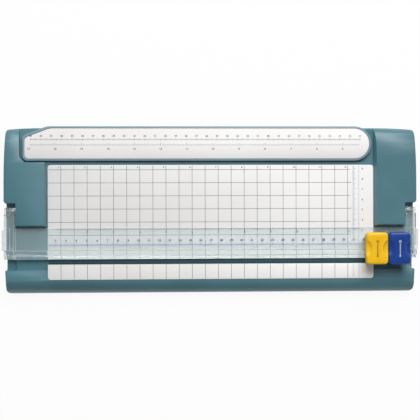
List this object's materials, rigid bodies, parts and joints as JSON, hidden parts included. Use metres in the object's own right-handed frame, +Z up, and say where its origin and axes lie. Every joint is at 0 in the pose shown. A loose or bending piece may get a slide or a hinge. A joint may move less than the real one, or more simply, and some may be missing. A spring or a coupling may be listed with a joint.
{
  "type": "rotary paper trimmer",
  "caption": "Low rectangular paper trimmer: printed table, clear lift-up guide arm, sliding press-down cutting and scoring carriages, and a swing-out ruler arm.",
  "frame": {"origin": "middle of the whole object's box, on the surface it stands on", "axes": "+X to the right along the cutting line, +Y to the back where the ruler arm lies, +Z up"},
  "size_m": [0.406, 0.162, 0.034],
  "materials": {
    "teal_abs": "moulded ABS, fine satin texture",
    "dark_abs": "moulded ABS, plain back",
    "ruler_abs": "moulded ABS, satin",
    "printed_white": "white sheet printed with grid and scales",
    "strip_pp": "soft cutting strip",
    "clear_pc": "clear moulded polycarbonate",
    "yellow_abs": "moulded ABS, semi-gloss",
    "blue_abs": "moulded ABS, semi-gloss",
    "black_pom": "moulded acetal",
    "label_film": "plain adhesive label",
    "rubber": "moulded rubber foot",
    "spring_steel": "bright steel",
    "blade_steel": "ground and honed steel"
  },
  "bodies": {
    "base": {"top_housing": "teal_abs", "bottom_cover": "dark_abs", "table_plate": "printed_white", "front_plate": "printed_white", "cutting_strip": "strip_pp", "foot_1": "rubber", "foot_2": "rubber", "foot_3": "rubber", "foot_4": "rubber", "foot_5": "rubber", "foot_6": "rubber", "cover_screw_1": "spring_steel", "cover_screw_2": "spring_steel", "cover_screw_3": "spring_steel", "cover_screw_4": "spring_steel", "cover_screw_5": "spring_steel", "cover_screw_6": "spring_steel", "hinge_pin_left": "teal_abs", "hinge_pin_right": "teal_abs"},
    "ruler": {"ruler_arm": "ruler_abs", "ruler_plate": "printed_white", "ruler_pivot_screw": "spring_steel", "ruler_pivot_washer": "spring_steel"},
    "guide": {"guide_arm": "clear_pc"},
    "cut_carriage": {"cut_shoe": "yellow_abs", "cut_spring": "spring_steel"},
    "cut_button": {"cut_cap": "yellow_abs", "cut_label": "label_film", "cut_wheel_fork": "black_pom", "cut_axle": "spring_steel"},
    "cut_roller": {"cut_wheel": "blade_steel"},
    "score_carriage": {"score_shoe": "blue_abs", "score_spring": "spring_steel"},
    "score_button": {"score_cap": "blue_abs", "score_label": "label_film", "score_wheel_fork": "black_pom", "score_axle": "spring_steel"},
    "score_roller": {"score_wheel": "blade_steel"}
  },
  "joints": [
    {"name": "ruler_arm_swing", "type": "hinge", "parent": "base", "child": "ruler", "pos_m": [0.1397, 0.0642, 0.0163], "axis": [0, 0, -1], "range_deg": [0, 90]},
    {"name": "guide_arm_lift", "type": "hinge", "parent": "base", "child": "guide", "pos_m": [0, -0.0013, 0.0166], "axis": [-1, 0, 0], "range_deg": [0, 70]},
    {"name": "cut_slide", "type": "slide", "parent": "guide", "child": "cut_carriage", "axis": [1, 0, 0], "range_m": [-0.3408, 0]},
    {"name": "cut_press", "type": "slide", "parent": "cut_carriage", "child": "cut_button", "axis": [0, 0, -1], "range_m": [0, 0.0025], "stiffness_N_per_m": 400, "springref_m": -0.0015, "deforming": ["cut_spring"]},
    {"name": "cut_wheel_spin", "type": "hinge", "parent": "cut_button", "child": "cut_roller", "pos_m": [0.1594, -0.05, 0.0235], "axis": [0, 1, 0], "continuous": true},
    {"name": "score_slide", "type": "slide", "parent": "guide", "child": "score_carriage", "axis": [1, 0, 0], "range_m": [-0.3408, 0]},
    {"name": "score_press", "type": "slide", "parent": "score_carriage", "child": "score_button", "axis": [0, 0, -1], "range_m": [0, 0.0025], "stiffness_N_per_m": 400, "springref_m": -0.0015, "deforming": ["score_spring"]},
    {"name": "score_wheel_spin", "type": "hinge", "parent": "score_button", "child": "score_roller", "pos_m": [0.1814, -0.05, 0.0235], "axis": [0, 1, 0], "continuous": true}
  ]
}
